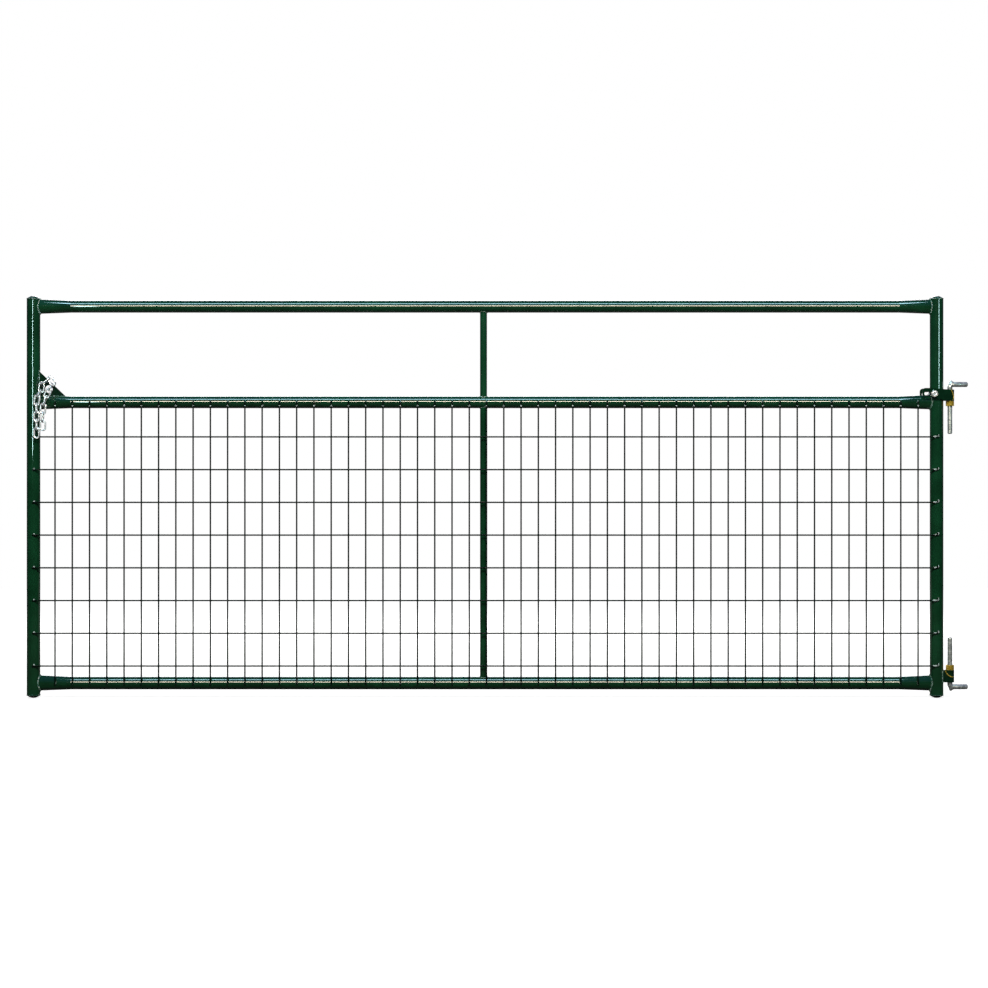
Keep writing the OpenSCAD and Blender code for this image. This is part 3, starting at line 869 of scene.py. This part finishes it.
@dataclass
class HingeBolt:
    """A bent rod: a plain pin toward the post, an elbow, and a long leg with a rolled thread."""

    palette: Palette
    end: str
    pin_z: float
    leg: Leg
    rod_r: float = 7.95
    elbow_r: float = 9.0
    ridge_h: float = 6.5
    ridge_deg: float = 20.0
    ridge_spread_deg: float = 17.0
    leg_l: float = 156.0
    pin_l: float = 56.0
    chamfer: float = 3.0
    thread_from: float = 48.0
    thread: Thread = Thread(crest_r=7.95, depth=1.15, pitch=2.31, chamfer=3.0)
    runout: float = 0.6
    around: int = 48
    bend_steps: int = 16

    def build(self) -> None:
        """Makes the rod and its thread and puts them in place of the plain solid."""
        zinc = self.palette.get(GREY_ZINC)
        rod = sweep(f"{self.end}_hinge_rod", self.rod_rings(), zinc)
        thread = self.thread.wind(f"{self.end}_hinge_thread", self.leg_l - self.thread_from,
                                  self.leg_frame(self.thread_from), zinc)
        for piece in (rod, thread):
            settle(piece, f"{self.end}_hinge_bolt")
            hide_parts(f"{self.end}_j_bolt")

    def leg_frame(self, start: float) -> Matrix:
        """Gives the place of a shape grown along +Z from the origin.

        Args:
            start: Its start along the leg, from the pin's axis.

        Returns:
            The matrix that sets it on the leg.
        """
        base = SIZES.row(SIZES.hinge_x, 0.0, self.pin_z + self.leg.value * start)
        half_turn = 0.0 if self.leg is Leg.UP else math.pi
        return Matrix.Translation(base) @ Matrix.Rotation(half_turn, 4, "X")

    def rod_rings(self) -> list[list[Vector]]:
        """Gives the rod's rings, from the pin's chamfered tip round the elbow to the start of the thread.

        Returns:
            The rings' points in metres.
        """
        tip = Vector((self.pin_l, 0, 0))
        rings = [self.ring(tip, math.pi / 2, self.rod_r - self.chamfer),
                 self.ring(tip - Vector((self.chamfer, 0, 0)), math.pi / 2, self.rod_r),
                 self.ring(Vector((self.elbow_r + self.chamfer, 0, 0)), math.pi / 2, self.rod_r)]
        for i in range(self.bend_steps + 1):
            turn = math.pi / 2 * i / self.bend_steps
            centre = Vector((self.elbow_r * (1 - math.sin(turn)), 0, self.elbow_r * (1 - math.cos(turn))))
            off = (math.degrees(turn) - self.ridge_deg) / self.ridge_spread_deg
            rings.append(self.ring(centre, math.pi / 2 - turn, self.rod_r, self.ridge_h * math.exp(-off * off)))
        rings.append(self.ring(Vector((0, 0, self.thread_from)), 0.0, self.rod_r))
        rings.append(self.ring(Vector((0, 0, self.thread_from + self.runout)), 0.0, self.rod_r - self.thread.depth))
        return rings

    def ring(self, centre: Vector, tilt: float, r: float, ridge: float = 0.0) -> list[Vector]:
        """Gives one ring of the rod.

        Args:
            centre: The ring's middle from the crossing of pin axis and hinge line, leg upward.
            tilt: Angle from the leg's direction to the rod's own at this ring.
            r: The ring's radius.
            ridge: Height of the forged ridge on the bend's outer side.

        Returns:
            The ring's points in metres.
        """
        side = Vector((math.cos(tilt), 0, math.sin(tilt)))
        points = []
        for a in ring_turns(self.around):
            outer = max(0.0, -math.cos(a))
            p = centre + side * (r * math.cos(a) - ridge * outer ** 2) + Vector((0, r * math.sin(a), 0))
            points.append(SIZES.row(SIZES.hinge_x + p.x, p.y, self.pin_z + self.leg.value * p.z))
        return points


@dataclass
class Hinges:
    """Upper strap with its bolt, lower eye, and the two bent hinge bolts with their nuts."""

    welds: Welds
    palette: Palette
    upper_pin_z: float = 990.0
    lower_pin_z: float = 35.0
    lower_eye_z: float = 49.5
    lower_eye_h: float = 38.0
    eye_r: float = 13.35
    eye_bead_inset: float = 2.0
    eye_bead_out: float = 0.3
    eye_bead_spread: float = 1.02
    bolt_x: float = 1415.0
    bolt_z: float = 960.0
    head_y: float = -34.35
    face_bore: float = 2.4
    face_r: float = 8.6
    face_h: float = 0.7
    face_sink: float = 0.4
    around: int = 32
    tail_y: float = 37.35
    tail_l: float = 4.9
    tail_thread: Thread = Thread(crest_r=6.75, depth=0.6, pitch=1.95, chamfer=1.0)
    seams: dict[str, tuple[tuple[float, float], ...]] = field(default_factory=lambda: {
        "upper_eye_yellow_streak": ((2.5, 972.5), (6.0, 966.0), (8.6, 960.0), (9.8, 953.0), (9.0, 946.0), (7.0, 941.0)),
        "lower_eye_yellow_streak": ((-16.5, 86.0), (-13.0, 79.0), (-8.0, 73.0), (-2.5, 69.0), (3.0, 67.0), (7.5, 66.5))})

    def build(self) -> None:
        """Dresses the hinge parts, threads the bolts and welds the lower eye."""
        self.palette.dress(("hinge_strap", "lower_eye"), SHADED_PLATE_COAT)
        self.palette.dress(("strap_nut",), BRIGHT_ZINC)
        self.palette.dress(("strap_bolt", "upper_j_bolt", "lower_j_bolt"), GREY_ZINC)
        self.palette.dress(("upper_hinge_nut", "lower_hinge_nut"), YELLOW_ZINC)
        for end, pin_z, leg in (("upper", self.upper_pin_z, Leg.DOWN), ("lower", self.lower_pin_z, Leg.UP)):
            HingeBolt(self.palette, end, pin_z, leg).build()
        self.welds.bead("lower_eye_welds", self.eye_lines(), self.welds.small_scale)
        self.glint_ring_face()
        self.bolt_thread()
        for name, points in self.seams.items():
            self.lay_streak(name, points)

    def glint_ring_face(self) -> None:
        """Makes the raised washer face on the strap bolt's head, open in its middle and sunk a little into it; its
        bright zinc against the bolt's dull zinc is a painted highlight ring.
        """
        profile = [(self.face_bore, -self.face_sink / 2), (self.face_bore, self.face_h),
                   (self.face_r - self.face_h, self.face_h), (self.face_r, -self.face_sink)]
        rings = [[SIZES.row(self.bolt_x + r * math.cos(a), self.head_y - rise, self.bolt_z + r * math.sin(a))
                  for a in ring_turns(self.around)] for r, rise in profile]
        settle(sweep("strap_bolt_face_painted_glint", rings, self.palette.get(BRIGHT_ZINC)))

    def bolt_thread(self) -> None:
        """Winds the rolled thread round the strap bolt's tail, behind its nut."""
        place = Matrix.Translation(SIZES.row(self.bolt_x, self.tail_y, self.bolt_z))
        turn = Matrix.Rotation(-math.pi / 2, 4, "X")
        zinc = self.palette.get(GREY_ZINC)
        settle(self.tail_thread.wind("strap_bolt_thread", self.tail_l, place @ turn, zinc))

    def lay_streak(self, name: str, points: Sequence[tuple[float, float]]) -> None:
        """Lays a thin ridge in yellow chromate zinc along a curved line on a rolled eye's front.

        Args:
            name: The piece's name.
            points: Places across and up, in millimetres from the hinge line and the gate's foot.
        """
        line = [SIZES.row(SIZES.hinge_x + x, -math.sqrt(self.eye_r ** 2 - max(0.0, x) ** 2), z) for x, z in points]
        self.welds.bead(name, [line], self.welds.streak_scale, YELLOW_ZINC)

    def eye_lines(self) -> list[list[Vector]]:
        """Gives the upright lines where the lower eye's two legs meet the stile.

        Returns:
            One line for each leg.
        """
        heights = (self.eye_bead_inset, self.lower_eye_h / 2, self.lower_eye_h - self.eye_bead_inset)
        lines = []
        for y in (-self.eye_r, self.eye_r):
            x = SIZES.stile_x + math.sqrt(SIZES.stile_r ** 2 - y ** 2) + self.eye_bead_out
            lines.append([SIZES.row(x, y * self.eye_bead_spread, self.lower_eye_z + z) for z in heights])
        return lines


class Role(Enum):
    """What a lamp does: it lights, or it only draws a line in the gloss, or it only fills."""

    LIGHT = (True, True)
    LINE = (False, True)
    FILL = (True, False)


@dataclass(frozen=True)
class Lamp:
    """One soft rectangular lamp, in millimetres from the gate's middle foot and metres for its face."""

    name: str
    place: Point
    aim: Point
    size: tuple[float, float]
    radiance: float
    shade: str
    role: Role = Role.LIGHT
    spread: float = 180.0

    def hang(self) -> None:
        """Hangs the lamp, hidden from the camera."""
        data = bpy.data.lights.new(self.name, "AREA")
        data.shape = "RECTANGLE"
        data.size, data.size_y = self.size
        data.energy = self.radiance * math.pi * self.size[0] * self.size[1]
        data.color = linear(self.shade)[:3]
        data.spread = math.radians(self.spread)
        lamp = new_object(self.name, data)
        lamp.location = SIZES.row(*self.place)
        lamp.rotation_euler = (SIZES.row(*self.aim) - lamp.location).to_track_quat("-Z", "Y").to_euler()
        lamp.visible_camera = False
        lamp.visible_diffuse, lamp.visible_glossy = self.role.value


@dataclass
class Studio:
    """Pale floor, soft lamps, white surround and the camera at the photograph's place, in metres."""

    sensor_mm: float = 36.0
    camera_distance: float = 8.0
    field_width: float = 3.122
    aim_x_mm: float = 28.3
    aim_z_mm: float = 644.0
    floor_half: float = 9.0
    floor_shades: tuple[str, str] = ("#3a3a39", "#c8c7c4")
    floor_gloss_span: Span = (0.1, 1.2)
    grain_scale: float = 40.0
    grain_tones: Span = (0.96, 1.0)
    glow_reach: Span = (2.5, 6.0)
    glow_strengths: Span = (0.7, 1.0)
    wall_gloss: float = 0.1
    wall_gloss_span: Span = (0.4, 0.85)
    sky_shades: tuple[str, str] = ("#1e2226", "#283a78")
    sky_span: Span = (0.0, 0.6)
    fill_shade: str = "#686e74"
    lamps: tuple[Lamp, ...] = (
        Lamp("overhead", (0.0, -2200.0, 4236.0), (0.0, -1200.0, 0.0), (4.3, 0.55), 18.0, "#b9eeff", Role.LINE),
        Lamp("front", (0.0, -7000.0, 2650.0), (0.0, 0.0, 900.0), (5.6, 0.6), 34.0, "#fff2dc", Role.LINE),
        Lamp("key", (0.0, -4200.0, 4200.0), (0.0, 0.0, 700.0), (5.0, 2.0), 8.5, "#ffffff", Role.FILL),
        Lamp("left_strip", (-1580.0, -2000.0, 1150.0), (-1580.0, 0.0, 1150.0), (0.08, 0.7), 1.7, "#c9f2f2",
             Role.LINE, 24.0),
        Lamp("right_strip", (2700.0, -2000.0, 1290.0), (1427.0, 0.0, 1290.0), (0.16, 0.44), 0.75, "#c0f0ee",
             Role.LINE, 24.0),
        Lamp("rear", (0.0, 5000.0, 3200.0), (0.0, 0.0, 700.0), (5.0, 1.6), 9.0, "#ffffff"))

    def build(self) -> None:
        """Builds the whole setting."""
        self.camera()
        self.floor()
        self.world()
        for lamp in self.lamps:
            lamp.hang()
        bpy.context.scene.view_settings.view_transform = "Standard"

    def camera(self) -> None:
        """Sets a level camera straight in front, with the photograph's field."""
        data = bpy.data.cameras.new("camera")
        data.sensor_width = self.sensor_mm
        data.lens = self.sensor_mm * self.camera_distance / self.field_width
        camera = new_object("camera", data)
        camera.location = SIZES.row(self.aim_x_mm, -self.camera_distance / MM, self.aim_z_mm)
        camera.rotation_euler = (math.pi / 2, 0.0, 0.0)
        bpy.context.scene.camera = camera

    def floor(self) -> None:
        """Lays a pale matt floor under the gate's feet that shows white and keeps the shadow."""
        material, tree = new_material("pale_matt_floor_paint")
        place = add_node(tree, "ShaderNodeTexCoord").outputs["Object"]
        centre = SIZES.row(0.0, 0.0, 0.0)
        seen = self.seen_share(tree, place, self.floor_gloss_span)
        from_gate = add_node(tree, "ShaderNodeVectorMath", {0: place, 1: centre}, operation="DISTANCE")
        away = remap(tree, from_gate.outputs["Value"], self.glow_reach, self.glow_strengths)
        grain = add_node(tree, "ShaderNodeTexNoise", {"Vector": place, "Scale": self.grain_scale, "Detail": 4.0})
        tone = remap(tree, grain.outputs["Fac"], (0.0, 1.0), self.grain_tones)
        pale = blend(tree, seen, *map(linear, self.floor_shades))
        matt = add_node(tree, "ShaderNodeBsdfDiffuse", {"Color": blend(tree, 1.0, pale, tone, blend_type="MULTIPLY")})
        glow = add_node(tree, "ShaderNodeEmission", {"Strength": compute(tree, "MULTIPLY", seen, away),
                                                     "Color": linear("#ffffff")})
        both = add_node(tree, "ShaderNodeAddShader", {0: matt.outputs[0], 1: glow.outputs[0]})
        add_node(tree, "ShaderNodeOutputMaterial", {"Surface": both.outputs[0]})
        mesh = bpy.data.meshes.new("studio_floor")
        half = self.floor_half
        corners = [(-half, -half), (half, -half), (half, half), (-half, half)]
        mesh.from_pydata([(centre.x + x, centre.y + y, centre.z) for x, y in corners], [], [(0, 1, 2, 3)])
        mesh.materials.append(material)
        new_object("studio_floor", mesh)

    def seen_share(self, tree: Tree, way: Socket, span: Span) -> Socket:
        """Gives how white the setting shows: fully to the camera and through glass, and to gloss behind the gate.

        Args:
            tree: The material's or the world's node tree.
            way: A place on the floor or a direction in the surround.
            span: How far to the back gloss begins to see it, and how far it sees all that wall_gloss lets it.

        Returns:
            A share from none to one.
        """
        rays = add_node(tree, "ShaderNodeLightPath").outputs
        direct = compute(tree, "MAXIMUM", rays["Is Camera Ray"], rays["Is Transmission Ray"])
        parts = add_node(tree, "ShaderNodeSeparateXYZ", {0: way})
        behind = remap(tree, parts.outputs[1], span, (0.0, self.wall_gloss))
        return compute(tree, "MAXIMUM", direct, compute(tree, "MULTIPLY", rays["Is Glossy Ray"], behind))

    def world(self) -> None:
        """Surrounds the gate with white for the camera, a paler wall behind it for gloss, and a soft fill."""
        world = bpy.data.worlds.new("studio_surround")
        bpy.context.scene.world = world
        world.use_nodes = True
        tree = world.node_tree
        tree.nodes.clear()
        way = add_node(tree, "ShaderNodeTexCoord").outputs["Generated"]
        seen = self.seen_share(tree, way, self.wall_gloss_span)
        rays = add_node(tree, "ShaderNodeLightPath").outputs
        high = add_node(tree, "ShaderNodeSeparateXYZ", {0: way})
        dim = blend(tree, remap(tree, high.outputs[2], self.sky_span), *map(linear, self.sky_shades))
        unseen = blend(tree, rays["Is Glossy Ray"], linear(self.fill_shade), dim)
        shown = blend(tree, seen, unseen, linear("#ffffff"))
        surround = add_node(tree, "ShaderNodeBackground", {"Color": shown, "Strength": 1.0})
        add_node(tree, "ShaderNodeOutputWorld", {"Surface": surround.outputs[0]})


def main() -> None:
    """Builds the gate's sub-assemblies and the setting in order."""
    logging.basicConfig(level=logging.INFO, format="%(name)s: %(message)s")
    palette = Palette()
    welds = Welds(palette)
    parts: list[tuple[str, Callable[[], None]]] = [
        ("studio", Studio().build),
        ("tube frame", TubeFrame(welds, palette).build),
        ("wire fill", WireFill(welds, palette).build),
        ("chain and plate", ChainFixing(welds, palette).build),
        ("hinges", Hinges(welds, palette).build),
    ]
    for label, build in parts:
        build()
        LOG.info("finished the %s", label)


if __name__ == "__main__":
    main()
